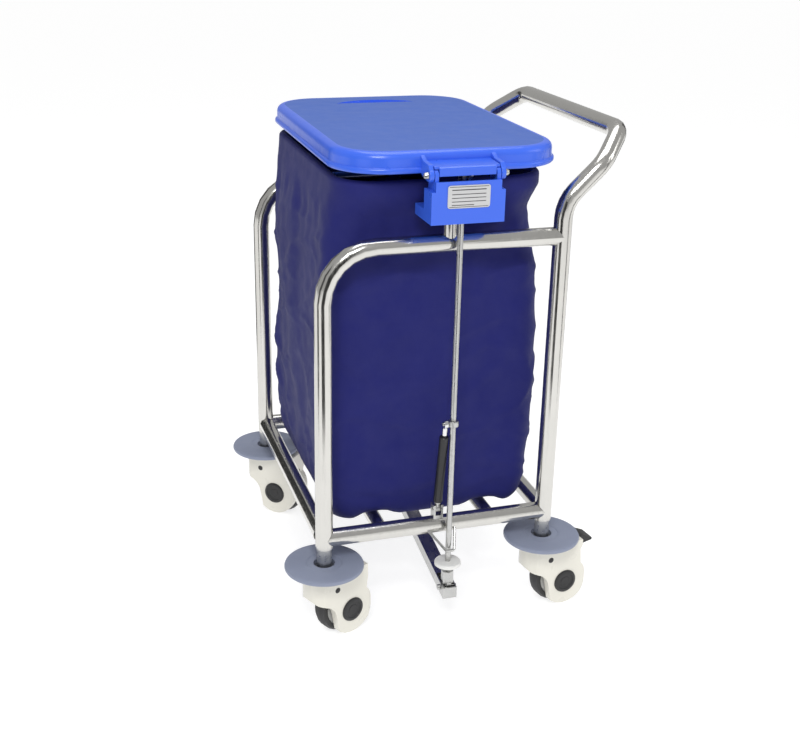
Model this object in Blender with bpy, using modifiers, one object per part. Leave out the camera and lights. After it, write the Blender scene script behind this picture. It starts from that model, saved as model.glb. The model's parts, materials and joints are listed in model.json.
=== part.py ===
"""Pedal-operated laundry bag trolley, modelled as separate named sub-parts.

Metres, +Z up.  The origin is on the floor under the middle of the frame.
+X points to the push handle, -Y to the side with the lid hinge and push rod.
"""
import math

import bmesh
import bpy
from mathutils import Matrix, Vector

# ---------------------------------------------------------------- driving dimensions
GAP = 0.0003                 # clearance kept between neighbouring pieces
SHIFT = Vector((-0.0300, 0.0, 0.0))   # puts the origin under the middle of the overall box

HALF_X = 0.198               # leg axes, along the cart
HALF_Y = 0.246               # leg axes, across the cart
TUBE_R = 0.015
WALL = 0.0014
LEG_FOOT = 0.169             # lower end of the leg tubes
LOW_RAIL_Z = 0.186
TOP_RAIL_Z = 0.682
SIDE_BEND_R = 0.084
CROSS_BAR_X = 0.098
CROSS_BAR_R = 0.0125
PIVOT_BAR_R = 0.010
HANDLE_X = 0.310             # push bar axis
HANDLE_Y = 0.198             # its ends
HANDLE_Z = 0.840

LID_X = 0.013                # middle of the lid and its hinge
LID_HALF_X = 0.188
LID_NEAR_Y = -0.257
LID_FAR_Y = 0.290
LID_RIM_Z = 0.796
LID_TOP_Z = 0.829
LID_CORNER_R = 0.088
LID_WALL = 0.003

HINGE_Y = -0.290
HINGE_Z = 0.800
HINGE_PIN_R = 0.003
ARM_IN = 0.053               # inner face of a lid arm, from LID_X
ARM_OUT = 0.061
FLAP_UNDER = 0.809
FLAP_TOP = 0.815
HOUSING_FRONT = -0.304
HOUSING_FLOOR = 0.727
HOUSING_HALF = 0.059
POST_X = 0.005
POST_R = 0.012

ROD_X = 0.013
ROD_Y = -0.2735
ROD_R = 0.005
ROD_THREAD_R = 0.004
CRANK_R = 0.018              # hinge axis to crank pin
LID_OPEN = math.radians(70)

LEVER_HALF_W = 0.0125
LEVER_PIVOT_Z = 0.124
LEVER_TIP_Y = -0.290
LEVER_TIP_Z = 0.072          # mid height of the low end
LEVER_HALF_H = 0.010
LEVER_PIN_Y = -0.273
LEVER_PIN_Z = 0.0762
PEDAL_FAR_Y = 0.311

DAMPER_FOOT = Vector((0.0, -HALF_Y, 0.216))
DAMPER_HEAD = Vector((0.0, ROD_Y, 0.384))

WHEEL_R = 0.050
CASTER_TRAIL = 0.036
HOOD_TOP = 0.1267
HOOD_HALF_W = 0.032
BUMPER_R = 0.067
BUMPER_TOP = 0.141
BRAKE_U = 0.0585               # brake pivot, along the trail from the swivel axis
BRAKE_Z = 0.1145
# name, side along X, side along Y, heading of the trailing wheel in degrees, has a brake
CASTERS = (
    ("near_left", -1, -1, 24.0, False),
    ("near_right", 1, -1, 8.0, True),
    ("far_left", -1, 1, -42.0, False),
    ("far_right", 1, 1, -8.0, True),
)

TUBE_SIDES = 16
COLOURS = {
    "steel": ((0.62, 0.62, 0.60), 0.22, 1.0),
    "zinc": ((0.55, 0.56, 0.57), 0.35, 1.0),
    "blue_plastic": ((0.03, 0.16, 0.72), 0.28, 0.0),
    "navy_cloth": ((0.02, 0.025, 0.16), 0.85, 0.0),
    "bumper_grey": ((0.13, 0.16, 0.26), 0.60, 0.0),
    "caster_white": ((0.75, 0.73, 0.66), 0.38, 0.0),
    "dark_rubber": ((0.045, 0.045, 0.05), 0.65, 0.0),
    "black_plastic": ((0.02, 0.02, 0.02), 0.45, 0.0),
    "white_plastic": ((0.85, 0.85, 0.83), 0.40, 0.0),
    "label_silver": ((0.66, 0.67, 0.66), 0.40, 0.6),
}


# ---------------------------------------------------------------- scene and materials
for old in list(bpy.data.objects):
    bpy.data.objects.remove(old)

parts = bpy.data.collections.new("laundry_bag_trolley")
cutters = bpy.data.collections.new("cutters")
for group in (parts, cutters):
    bpy.context.scene.collection.children.link(group)


def material(kind):
    """The shared Principled material of one kind, made on first use."""
    found = bpy.data.materials.get(kind)
    if found:
        return found
    colour, roughness, metallic = COLOURS[kind]
    made = bpy.data.materials.new(kind)
    made.use_nodes = True
    shader = made.node_tree.nodes["Principled BSDF"]
    shader.inputs["Base Color"].default_value = (*colour, 1.0)
    shader.inputs["Roughness"].default_value = roughness
    shader.inputs["Metallic"].default_value = metallic
    return made


# ---------------------------------------------------------------- small geometry helpers
def arc(centre, radius, start, end, steps):
    """Points of a flat arc, angles in degrees."""
    found = []
    for i in range(steps + 1):
        a = math.radians(start + (end - start) * i / steps)
        found.append((centre[0] + radius * math.cos(a), centre[1] + radius * math.sin(a)))
    return found


def rounded_rectangle(x0, x1, y0, y1, radius, steps=6):
    """Counter-clockwise outline with round corners."""
    outline = []
    corners = ((x1, y1, 0), (x0, y1, 90), (x0, y0, 180), (x1, y0, 270))
    for x, y, start in corners:
        cx = x - radius if x == x1 else x + radius
        cy = y - radius if y == y1 else y + radius
        outline += arc((cx, cy), radius, start, start + 90, steps)
    return outline


def bent_path(corners, radii, steps=7):
    """A polyline through corners, each inner corner rounded by its own radius."""
    corners = [Vector(c) for c in corners]
    path = [corners[0]]
    for before, corner, after, radius in zip(corners, corners[1:], corners[2:], radii):
        inward = (before - corner).normalized()
        onward = (after - corner).normalized()
        turn = math.pi - inward.angle(onward)
        reach = radius * math.tan(turn / 2)
        middle = corner + (inward + onward).normalized() * radius / math.cos(turn / 2)
        first = corner + inward * reach - middle
        side = (inward * -1 - first * (inward * -1).dot(first) / first.length_squared).normalized()
        for i in range(steps + 1):
            a = turn * i / steps
            path.append(middle + first * math.cos(a) + side * radius * math.sin(a))
    return path + [corners[-1]]


def place(obj, name, kind, group=None):
    """Name an object, give it its material and file it in its collection."""
    obj.name = name
    obj.data.name = name
    if kind:
        obj.data.materials.clear()
        obj.data.materials.append(material(kind))
    (group or parts).objects.link(obj)
    return obj


def mesh_object(mesh, matrix=None):
    """A new object for a mesh, flat faces kept flat and round ones smooth."""
    obj = bpy.data.objects.new(mesh.name, mesh)
    mesh.shade_smooth()
    mesh.set_sharp_from_angle(angle=math.radians(35))
    if matrix:
        obj.matrix_world = matrix
    return obj


def mesh_from_curve(curve):
    """The evaluated mesh of a curve, with its loose caps welded on."""
    holder = bpy.data.objects.new("holder", curve)
    bpy.context.scene.collection.objects.link(holder)
    bpy.context.view_layer.update()
    evaluated = holder.evaluated_get(bpy.context.evaluated_depsgraph_get())
    mesh = bpy.data.meshes.new_from_object(evaluated)
    work = bmesh.new()
    work.from_mesh(mesh)
    bmesh.ops.remove_doubles(work, verts=work.verts, dist=0.00001)
    work.to_mesh(mesh)
    work.free()
    bpy.data.objects.remove(holder)
    bpy.data.curves.remove(curve)
    return mesh


def tube_curve(points, radius, sides, capped, closed=False):
    """A round curve object's data along a polyline."""
    curve = bpy.data.curves.new("tube", "CURVE")
    curve.dimensions = "3D"
    curve.bevel_depth = radius
    curve.bevel_resolution = (sides - 4) // 2
    curve.use_fill_caps = capped
    spline = curve.splines.new("POLY")
    spline.points.add(len(points) - 1)
    for slot, point in zip(spline.points, points):
        slot.co = (*point, 1.0)
    spline.use_cyclic_u = closed
    return curve


def hollow_tube(name, points, radius=TUBE_R, wall=WALL, kind="steel", sides=TUBE_SIDES):
    """An open-ended tube along a polyline."""
    obj = place(mesh_object(mesh_from_curve(tube_curve(points, radius, sides, False))), name, kind)
    shell = obj.modifiers.new("wall", "SOLIDIFY")
    shell.thickness = wall
    shell.offset = -1.0
    return obj


def wire(name, points, radius, kind, sides=10, closed=False, group=None):
    """A solid round bar along a polyline."""
    curve = tube_curve(points, radius, sides, not closed, closed)
    return place(mesh_object(mesh_from_curve(curve)), name, kind, group)


def axis_matrix(origin, direction):
    """Turns local +Z to a direction, at an origin."""
    return Matrix.Translation(Vector(origin)) @ Vector(direction).to_track_quat("Z", "Y").to_matrix().to_4x4()


def cylinder(name, start, end, radius, kind=None, sides=20, group=None):
    """A solid cylinder between two points."""
    start = Vector(start)
    end = Vector(end)
    mesh = bpy.data.meshes.new(name)
    work = bmesh.new()
    bmesh.ops.create_cone(work, cap_ends=True, segments=sides, radius1=radius, radius2=radius,
                          depth=(end - start).length)
    work.to_mesh(mesh)
    work.free()
    return place(mesh_object(mesh, axis_matrix((start + end) / 2, end - start)), name, kind, group)


def block(name, low, high, kind=None, group=None):
    """A box between two opposite corners."""
    low = Vector(low)
    high = Vector(high)
    mesh = bpy.data.meshes.new(name)
    work = bmesh.new()
    bmesh.ops.create_cube(work, size=1.0)
    bmesh.ops.scale(work, vec=high - low, verts=work.verts)
    work.to_mesh(mesh)
    work.free()
    obj = place(mesh_object(mesh), name, kind, group)
    obj.location = (low + high) / 2
    return obj


def plate(name, outline, thickness, matrix, kind=None, group=None):
    """A flat outline in a local XY plane, thickened evenly to both sides."""
    curve = bpy.data.curves.new("outline", "CURVE")
    curve.dimensions = "2D"
    curve.fill_mode = "BOTH"
    curve.extrude = thickness / 2
    spline = curve.splines.new("POLY")
    spline.points.add(len(outline) - 1)
    for slot, (x, y) in zip(spline.points, outline):
        slot.co = (x, y, 0.0, 1.0)
    spline.use_cyclic_u = True
    return place(mesh_object(mesh_from_curve(curve), matrix), name, kind, group)


def turned(name, profile, matrix, kind, sides=24, ring=False, group=None):
    """A profile of (radius, height) turned about its local Z axis.

    The profile runs down its outer side; a ring's profile is a closed loop.
    """
    mesh = bpy.data.meshes.new(name)
    edges = [(i, i + 1) for i in range(len(profile) - 1)]
    if ring:
        edges.append((len(profile) - 1, 0))
    mesh.from_pydata([(r, 0.0, z) for r, z in profile], edges, [])
    obj = place(bpy.data.objects.new(name, mesh), name, kind, group)
    obj.matrix_world = matrix
    screw = obj.modifiers.new("turn", "SCREW")
    screw.axis = "Z"
    screw.steps = sides
    screw.render_steps = sides
    screw.use_merge_vertices = True
    screw.merge_threshold = 0.00002
    screw.use_smooth_shade = True
    return obj


def side_plane(origin):
    """Local X to world Y, local Y to world Z, local Z to world X."""
    turn = Matrix(((0, 0, 1), (1, 0, 0), (0, 1, 0))).to_4x4()
    return Matrix.Translation(Vector(origin)) @ turn


def boolean(obj, tool, operation="DIFFERENCE"):
    """Cut a piece with a tool, or join the tool to it."""
    step = obj.modifiers.new(tool.name, "BOOLEAN")
    step.operation = operation
    step.object = tool
    step.solver = "EXACT"
    tool.hide_render = True
    tool.display_type = "WIRE"
    return obj


def cut_cylinder(obj, start, end, radius, sides=24):
    """Remove a cylinder from a piece."""
    return boolean(obj, cylinder(obj.name + "_cut", start, end, radius, None, sides, cutters))


def cut_block(obj, low, high):
    """Remove a box from a piece."""
    return boolean(obj, block(obj.name + "_cut", low, high, None, cutters))


def soften(obj, width, segments=2, angle=40):
    """Round the sharp edges of a welded mesh."""
    bevel = obj.modifiers.new("edges", "BEVEL")
    bevel.width = width
    bevel.segments = segments
    bevel.limit_method = "ANGLE"
    bevel.angle_limit = math.radians(angle)
    return obj


def set_origin(obj, point):
    """Move an object's origin to a point and leave its shape where it is."""
    bpy.context.view_layer.update()
    shift = obj.matrix_world.inverted() @ Vector(point)
    obj.data.transform(Matrix.Translation(-shift))
    obj.matrix_world = obj.matrix_world @ Matrix.Translation(shift)
    return obj


# ---------------------------------------------------------------- welded tube frame
def cut_at_leg(obj, side_x, side_y, z):
    """Cope a rail's end to the round of a leg."""
    x = side_x * HALF_X
    y = side_y * HALF_Y
    return cut_cylinder(obj, (x, y, z - 0.04), (x, y, z + 0.04), TUBE_R + GAP)


def side_tube(name, side_y):
    """One leg and top rail in one bent tube, welded to the handle's post."""
    y = side_y * HALF_Y
    corners = ((-HALF_X, y, LEG_FOOT), (-HALF_X, y, TOP_RAIL_Z), (HALF_X, y, TOP_RAIL_Z))
    return cut_at_leg(hollow_tube(name, bent_path(corners, (SIDE_BEND_R,), 6)), 1, side_y, TOP_RAIL_Z)


def handle_tube():
    """Both posts and the push bar in one bent tube."""
    far = [(HANDLE_X, HANDLE_Y, HANDLE_Z), (0.2614, HALF_Y, 0.797), (HALF_X, HALF_Y, 0.737),
           (HALF_X, HALF_Y, LEG_FOOT)]
    near = [(x, -y, z) for x, y, z in reversed(far)]
    radii = (0.060, 0.050, 0.042, 0.042, 0.050, 0.060)
    return hollow_tube("handle_tube", bent_path(near + far, radii, 4))


def long_rail(name, side_y):
    """A bottom rail along X, coped to both of its legs."""
    y = side_y * HALF_Y
    rail = hollow_tube(name, [(-HALF_X, y, LOW_RAIL_Z), (HALF_X, y, LOW_RAIL_Z)])
    for side_x in (-1, 1):
        cut_at_leg(rail, side_x, side_y, LOW_RAIL_Z)
    return rail


def cut_at_long_rails(obj):
    """Cope a crosswise tube to both long rails."""
    for side_y in (-1, 1):
        y = side_y * HALF_Y
        cut_cylinder(obj, (-0.22, y, LOW_RAIL_Z), (0.22, y, LOW_RAIL_Z), TUBE_R + GAP)
    return obj


def end_rail(name, side_x):
    """A bottom rail along Y, coped to its legs and to the long rails."""
    x = side_x * HALF_X
    rail = hollow_tube(name, [(x, -HALF_Y, LOW_RAIL_Z), (x, HALF_Y, LOW_RAIL_Z)])
    for side_y in (-1, 1):
        cut_at_leg(rail, side_x, side_y, LOW_RAIL_Z)
    return cut_at_long_rails(rail)


def cross_bar(name, side_x):
    """A thinner tube across the floor of the frame, under the bag."""
    x = side_x * CROSS_BAR_X
    ends = [(x, -HALF_Y, LOW_RAIL_Z), (x, HALF_Y, LOW_RAIL_Z)]
    return cut_at_long_rails(hollow_tube(name, ends, CROSS_BAR_R, WALL, "steel", 16))


def pivot_bar():
    """A short tube between the cross bars that carries the pedal lever's bracket."""
    ends = [(-CROSS_BAR_X, 0, LOW_RAIL_Z), (CROSS_BAR_X, 0, LOW_RAIL_Z)]
    bar = hollow_tube("pivot_bar", ends, PIVOT_BAR_R, WALL, "steel", 16)
    for side_x in (-1, 1):
        x = side_x * CROSS_BAR_X
        cut_cylinder(bar, (x, -0.03, LOW_RAIL_Z), (x, 0.03, LOW_RAIL_Z), CROSS_BAR_R + GAP)
    return bar


def lid_post():
    """The short upright between the near top rail and the hinge housing."""
    ends = [(POST_X, -HALF_Y, TOP_RAIL_Z), (POST_X, -HALF_Y, HOUSING_FLOOR + 0.010)]
    post = hollow_tube("lid_post", ends, POST_R, WALL, "steel", 16)
    return cut_cylinder(post, (-0.03, -HALF_Y, TOP_RAIL_Z), (0.04, -HALF_Y, TOP_RAIL_Z), TUBE_R + GAP)


def bag_hoop():
    """The ring that the bag's mouth hangs on, with its welded foot plate."""
    outline = rounded_rectangle(-0.160, 0.176, -0.219, 0.266, 0.060, 5)
    hoop = wire("bag_hoop", [(x, y, 0.772) for x, y in outline], 0.005, "steel", 8, True)
    foot = block("bag_hoop_foot", (POST_X - 0.03, -0.2255, 0.7443), (POST_X + 0.05, -0.2205, 0.774),
                 None, cutters)
    return boolean(hoop, foot, "UNION")


def frame():
    side_tube("near_side_tube", -1)
    side_tube("far_side_tube", 1)
    handle_tube()
    long_rail("near_bottom_rail", -1)
    long_rail("far_bottom_rail", 1)
    end_rail("left_bottom_rail", -1)
    end_rail("right_bottom_rail", 1)
    cross_bar("left_cross_bar", -1)
    cross_bar("right_cross_bar", 1)
    pivot_bar()
    lid_post()
    bag_hoop()


# ---------------------------------------------------------------- lid and its hinge
def lid_solid(name, inset, low, high, edge):
    """A rounded block with the lid's plan shape, drawn in by an inset."""
    outline = rounded_rectangle(LID_X - LID_HALF_X + inset, LID_X + LID_HALF_X - inset,
                                LID_NEAR_Y + inset, LID_FAR_Y - inset, LID_CORNER_R - inset, 5)
    body = plate(name, outline, high - low, Matrix.Translation((0, 0, (low + high) / 2)), None, cutters)
    return soften(body, edge, 2)


def hinge_arm(name, side):
    """A lid arm's side shape around the hinge pin."""
    nose = arc((HINGE_Y, HINGE_Z), 0.010, 100, 270, 7)
    outline = nose + [(-0.262, 0.7925), (-0.252, 0.797), (-0.252, FLAP_TOP), (-0.292, FLAP_TOP)]
    middle = LID_X + side * (ARM_IN + ARM_OUT) / 2
    return plate(name, outline, ARM_OUT - ARM_IN, side_plane((middle, 0, 0)), None, cutters)


def lid():
    """The moulded lid: a shallow shell with a lip, a finger recess and a hinge flap with two arms."""
    shell = lid_solid("lid", 0.004, LID_RIM_Z, LID_TOP_Z, 0.012)
    cutters.objects.unlink(shell)
    place(shell, "lid", "blue_plastic")
    lip = lid_solid("lid_lip", 0.0, LID_RIM_Z + 0.001, LID_RIM_Z + 0.008, 0.002)
    boolean(shell, lip, "UNION")
    flap = block("lid_flap", (LID_X - ARM_OUT, -0.294, FLAP_UNDER), (LID_X + ARM_OUT, -0.250, FLAP_TOP),
                 None, cutters)
    boolean(shell, flap, "UNION")
    for side, name in ((-1, "lid_arm_left"), (1, "lid_arm_right")):
        boolean(shell, hinge_arm(name, side), "UNION")
    inside = lid_solid("lid_inside", 0.004 + LID_WALL, LID_RIM_Z - 0.020, LID_TOP_Z - LID_WALL, 0.009)
    boolean(shell, inside)
    recess_depth = 0.0018
    bow = arc((LID_X, 0.130), 0.105, 45, 135, 8)
    floor = plate("lid_recess", bow, 2 * recess_depth, Matrix.Translation((0, 0, LID_TOP_Z)), None, cutters)
    boolean(shell, floor)
    cut_cylinder(shell, (LID_X - 0.07, HINGE_Y, HINGE_Z), (LID_X + 0.07, HINGE_Y, HINGE_Z),
                 HINGE_PIN_R + GAP, 16)
    return set_origin(shell, (LID_X, HINGE_Y, HINGE_Z))


def hinge_housing():
    """The moulded bracket on the post: front wall, shelf and two lugs for the hinge pin."""
    left = LID_X - HOUSING_HALF
    right = LID_X + HOUSING_HALF
    housing = block("hinge_housing", (left, HOUSING_FRONT, HOUSING_FLOOR), (right, -0.268, 0.777),
                    "blue_plastic")
    shelf = block("housing_shelf", (left, -0.280, HOUSING_FLOOR), (right, -0.226, 0.744), None, cutters)
    boolean(housing, shelf, "UNION")
    neck_half = ARM_IN - 0.0005
    neck = block("housing_neck", (LID_X - neck_half, HOUSING_FRONT, 0.770),
                 (LID_X + neck_half, -0.268, 0.792), None, cutters)
    boolean(housing, neck, "UNION")
    for side, name in ((-1, "housing_lug_left"), (1, "housing_lug_right")):
        outer = LID_X + side * neck_half
        inner = outer - side * 0.006
        lug = cylinder(name, (inner, HINGE_Y, HINGE_Z), (outer, HINGE_Y, HINGE_Z), 0.0085, None, 20, cutters)
        boolean(housing, lug, "UNION")
        stem = block(name + "_stem", (min(inner, outer), -0.2984, 0.785), (max(inner, outer), -0.2816, HINGE_Z),
                     None, cutters)
        boolean(housing, stem, "UNION")
    inner_half = neck_half - 0.006
    cut_block(housing, (LID_X - inner_half, HOUSING_FRONT + 0.003, HOUSING_FLOOR + 0.004),
              (LID_X + inner_half, -0.262, 0.83))
    cut_cylinder(housing, (LID_X - 0.07, HINGE_Y, HINGE_Z), (LID_X + 0.07, HINGE_Y, HINGE_Z),
                 HINGE_PIN_R + GAP, 16)
    cut_cylinder(housing, (ROD_X, ROD_Y, 0.72), (ROD_X, ROD_Y, 0.735), ROD_R + 0.001, 16)
    cut_cylinder(housing, (POST_X, -HALF_Y, 0.72), (POST_X, -HALF_Y, HOUSING_FLOOR + 0.0103),
                 POST_R + GAP)
    return housing


def hinge_pin():
    """The long hinge pin with a domed nut at each end."""
    reach = ARM_OUT + GAP
    dome = [(0.0, reach + 0.0075), (0.0035, reach + 0.0065), (0.0048, reach + 0.0045), (0.0055, reach)]
    half = dome + [(HINGE_PIN_R, reach)]
    profile = half + [(r, -z) for r, z in reversed(half)]
    return turned("hinge_pin", profile, axis_matrix((LID_X, HINGE_Y, HINGE_Z), (1, 0, 0)), "zinc", 12)


def lid_crank():
    """The crank under the flap: it turns the rod's lift into the lid's swing."""
    low = -LID_OPEN / 2
    pin_y = HINGE_Y + CRANK_R * math.cos(low)
    pin_z = HINGE_Z + CRANK_R * math.sin(low)
    slope = math.degrees(low)
    outline = (arc((HINGE_Y, HINGE_Z), 0.0065, 130, 245, 6) + arc((pin_y, pin_z), 0.005, slope - 90, slope + 60, 6)
               + [(-0.271, FLAP_UNDER - GAP), (-0.294, FLAP_UNDER - GAP)])
    crank = plate("lid_crank", outline, 0.004, side_plane((ROD_X + 0.0068, 0, 0)), "zinc")
    pin = cylinder("lid_crank_pin", (ROD_X - 0.006, pin_y, pin_z), (ROD_X + 0.008, pin_y, pin_z), 0.0025,
                   None, 12, cutters)
    boolean(crank, pin, "UNION")
    cut_cylinder(crank, (ROD_X, HINGE_Y, HINGE_Z), (ROD_X + 0.02, HINGE_Y, HINGE_Z), HINGE_PIN_R + GAP, 16)
    return set_origin(crank, (LID_X, HINGE_Y, HINGE_Z))


def label_plate():
    """A plain silver name plate on the housing's front face."""
    outline = rounded_rectangle(-0.034, 0.034, -0.0175, 0.0175, 0.004, 3)
    stand = Matrix.Translation((LID_X, HOUSING_FRONT - GAP - 0.0004, 0.769)) @ Matrix.Rotation(math.pi / 2, 4, "X")
    return plate("label_plate", outline, 0.0008, stand, "label_silver")


# ---------------------------------------------------------------- pedal linkage
def push_rod():
    """The rod from the pedal lever up to the crank, with a slotted eye on top."""
    eye_z = HINGE_Z - CRANK_R * math.sin(LID_OPEN / 2)
    profile = [(0.0, eye_z - 0.006), (ROD_R, eye_z - 0.007), (ROD_R, 0.131), (ROD_THREAD_R, 0.130),
               (ROD_THREAD_R, 0.097), (0.0, 0.096)]
    rod = turned("push_rod", profile, Matrix.Translation((ROD_X, ROD_Y, 0)), "steel", 12)
    eye = block("push_rod_eye", (ROD_X - 0.0035, ROD_Y - 0.009, eye_z - 0.008),
                (ROD_X + 0.0035, ROD_Y + 0.009, eye_z + 0.0065), None, cutters)
    boolean(rod, eye, "UNION")
    return cut_block(rod, (ROD_X - 0.01, ROD_Y - 0.006, eye_z - 0.0032), (ROD_X + 0.01, ROD_Y + 0.006, eye_z + 0.0032))


def rod_foot():
    """The long hexagon nut under the rod, with a slotted tongue for the lever's pin."""
    nut = cylinder("rod_foot", (ROD_X, ROD_Y, 0.0845), (ROD_X, ROD_Y, 0.108), 0.0108, "zinc", 6)
    nut.rotation_euler = (0, 0, 0)
    tongue = block("rod_foot_tongue", (ROD_X - 0.004, -0.2845, 0.0708), (ROD_X + 0.004, -0.2645, 0.088),
                   None, cutters)
    boolean(nut, tongue, "UNION")
    cut_block(nut, (ROD_X - 0.01, -0.2812, LEVER_PIN_Z - 0.0035), (ROD_X + 0.01, -0.2690, LEVER_PIN_Z + 0.0035))
    return cut_cylinder(nut, (ROD_X, ROD_Y, 0.0925), (ROD_X, ROD_Y, 0.12), ROD_THREAD_R + GAP, 16)


def stop_disc():
    """The white disc that meets the wire guide at the end of the lift."""
    inner = ROD_THREAD_R + GAP
    profile = [(inner, 0.127), (0.0215, 0.127), (0.023, 0.1255), (0.023, 0.121), (inner, 0.121)]
    return turned("stop_disc", profile, Matrix.Translation((ROD_X, ROD_Y, 0)), "white_plastic", 18, True)


def rod_guide():
    """A bent wire welded to the near rail, looped around the rod."""
    corners = ((-0.026, -0.252, 0.190), (0.006, -0.284, 0.152), (0.020, -0.284, 0.152), (0.031, -0.252, 0.192))
    guide = wire("rod_guide", bent_path(corners, (0.004, 0.004), 4), 0.0025, "zinc", 8)
    return cut_cylinder(guide, (-0.06, -HALF_Y, LOW_RAIL_Z), (0.06, -HALF_Y, LOW_RAIL_Z), TUBE_R + GAP)


def lever_edge(y, offset):
    """Height of a line along the lever's sloping arm."""
    slope = (LEVER_PIVOT_Z - LEVER_TIP_Z) / -LEVER_TIP_Y
    return LEVER_TIP_Z + slope * (y - LEVER_TIP_Y) + offset


def pedal_lever():
    """The channel-section lever: sloping arm to the rod, level arm to the pedal plate."""
    top = LEVER_PIVOT_Z + LEVER_HALF_H
    bottom = LEVER_PIVOT_Z - LEVER_HALF_H
    outline = [(LEVER_TIP_Y, lever_edge(LEVER_TIP_Y, -LEVER_HALF_H)), (0.0, bottom), (0.300, bottom),
               (0.300, top), (0.0, top), (LEVER_TIP_Y, lever_edge(LEVER_TIP_Y, LEVER_HALF_H))]
    lever = plate("pedal_lever", outline, 2 * LEVER_HALF_W, side_plane((ROD_X, 0, 0)), "steel")
    inside = 2 * (LEVER_HALF_W - 0.002)
    tray = [(-0.2875, lever_edge(-0.2875, 0.0025 - LEVER_HALF_H)), (-0.249, lever_edge(-0.249, 0.0025 - LEVER_HALF_H)),
            (-0.249, 0.110), (-0.2875, 0.110)]
    boolean(lever, plate("lever_tray", tray, inside, side_plane((ROD_X, 0, 0)), None, cutters))
    web = LEVER_HALF_H - 0.0025
    channel = [(-0.242, 0.040), (0.302, 0.040), (0.302, LEVER_PIVOT_Z + web), (0.0, LEVER_PIVOT_Z + web),
               (-0.242, lever_edge(-0.242, web))]
    boolean(lever, plate("lever_channel", channel, inside, side_plane((ROD_X, 0, 0)), None, cutters))
    pedal = block("pedal_plate", (ROD_X - 0.045, 0.262, top - 0.002), (ROD_X + 0.045, PEDAL_FAR_Y, top + 0.003),
                  None, cutters)
    boolean(lever, pedal, "UNION")
    cut_cylinder(lever, (ROD_X - 0.03, LEVER_PIN_Y, LEVER_PIN_Z), (ROD_X + 0.03, LEVER_PIN_Y, LEVER_PIN_Z),
                 0.003 + GAP, 12)
    cut_cylinder(lever, (ROD_X - 0.03, 0, LEVER_PIVOT_Z), (ROD_X + 0.03, 0, LEVER_PIVOT_Z), 0.004 + GAP, 12)
    return set_origin(lever, (ROD_X, 0, LEVER_PIVOT_Z))


def lever_pin():
    """The cross pin through the lever's low end, with a button head."""
    profile = [(0.0, 0.0175), (0.003, 0.0165), (0.003, -0.0132), (0.005, -0.0132), (0.0045, -0.0175), (0.0, -0.0185)]
    return turned("lever_pin", profile, axis_matrix((ROD_X, LEVER_PIN_Y, LEVER_PIN_Z), (1, 0, 0)), "zinc", 12)


def lever_bracket():
    """The saddle bracket under the pivot bar, with two cheeks beside the lever."""
    bracket = block("lever_bracket", (ROD_X - 0.0165, -0.014, 0.112), (ROD_X + 0.0165, 0.014, 0.181), "steel")
    cut_block(bracket, (ROD_X - 0.0132, -0.02, 0.10), (ROD_X + 0.0132, 0.02, 0.171))
    cut_cylinder(bracket, (-0.05, 0, LOW_RAIL_Z), (0.08, 0, LOW_RAIL_Z), PIVOT_BAR_R + GAP)
    return cut_cylinder(bracket, (ROD_X - 0.03, 0, LEVER_PIVOT_Z), (ROD_X + 0.03, 0, LEVER_PIVOT_Z), 0.004 + GAP, 12)


def lever_bolt():
    """The pivot bolt through the bracket and the lever."""
    face = 0.0165 + GAP
    half = [(0.0, face + 0.005), (0.0065, face + 0.005), (0.0065, face), (0.004, face)]
    profile = half + [(r, -z) for r, z in reversed(half)]
    return turned("lever_bolt", profile, axis_matrix((ROD_X, 0, LEVER_PIVOT_Z), (1, 0, 0)), "zinc", 12)


def pedal_pad():
    """The ribbed rubber tread on the pedal plate."""
    under = LEVER_PIVOT_Z + LEVER_HALF_H + 0.003 + GAP
    pad = block("pedal_pad", (ROD_X - 0.044, 0.263, under), (ROD_X + 0.044, PEDAL_FAR_Y - 0.001, under + 0.005),
                "dark_rubber")
    for i in range(5):
        y = 0.269 + 0.0085 * i
        cut_block(pad, (ROD_X - 0.05, y, under + 0.003), (ROD_X + 0.05, y + 0.003, under + 0.01))
    return set_origin(pad, (ROD_X, 0, LEVER_PIVOT_Z))


# ---------------------------------------------------------------- damper
DAMPER_AXIS = (DAMPER_HEAD - DAMPER_FOOT).normalized()
DAMPER_LENGTH = (DAMPER_HEAD - DAMPER_FOOT).length


def damper_eye(name, centre, half_width, radius, sides=14):
    """A flat ring end around a cross pin."""
    reach = Vector((half_width, 0, 0))
    return cylinder(name, centre - reach, centre + reach, radius, None, sides, cutters)


def damper_foot_eye():
    """The lower end fitting: an eye and a short neck."""
    neck = [(0.0, 0.0145), (0.0055, 0.0145), (0.0055, 0.0105), (0.0042, 0.0095), (0.0042, 0.002), (0.0, 0.002)]
    fitting = turned("damper_foot_eye", neck, axis_matrix(DAMPER_FOOT, DAMPER_AXIS), "zinc", 14)
    boolean(fitting, damper_eye("foot_eye", DAMPER_FOOT, 0.004, 0.0068), "UNION")
    reach = Vector((0.02, 0, 0))
    return cut_cylinder(fitting, DAMPER_FOOT - reach, DAMPER_FOOT + reach, 0.0034, 12)


def damper_cylinder():
    """The black pressure tube, bored from the top for the piston rod."""
    bore = 0.0028 + GAP
    profile = [(bore, 0.146), (0.0068, 0.146), (0.0078, 0.145), (0.0078, 0.016), (0.007, 0.0148),
               (0.0, 0.0148), (0.0, 0.060), (bore, 0.060)]
    return turned("damper_cylinder", profile, axis_matrix(DAMPER_FOOT, DAMPER_AXIS), "black_plastic", 14, True)


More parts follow.
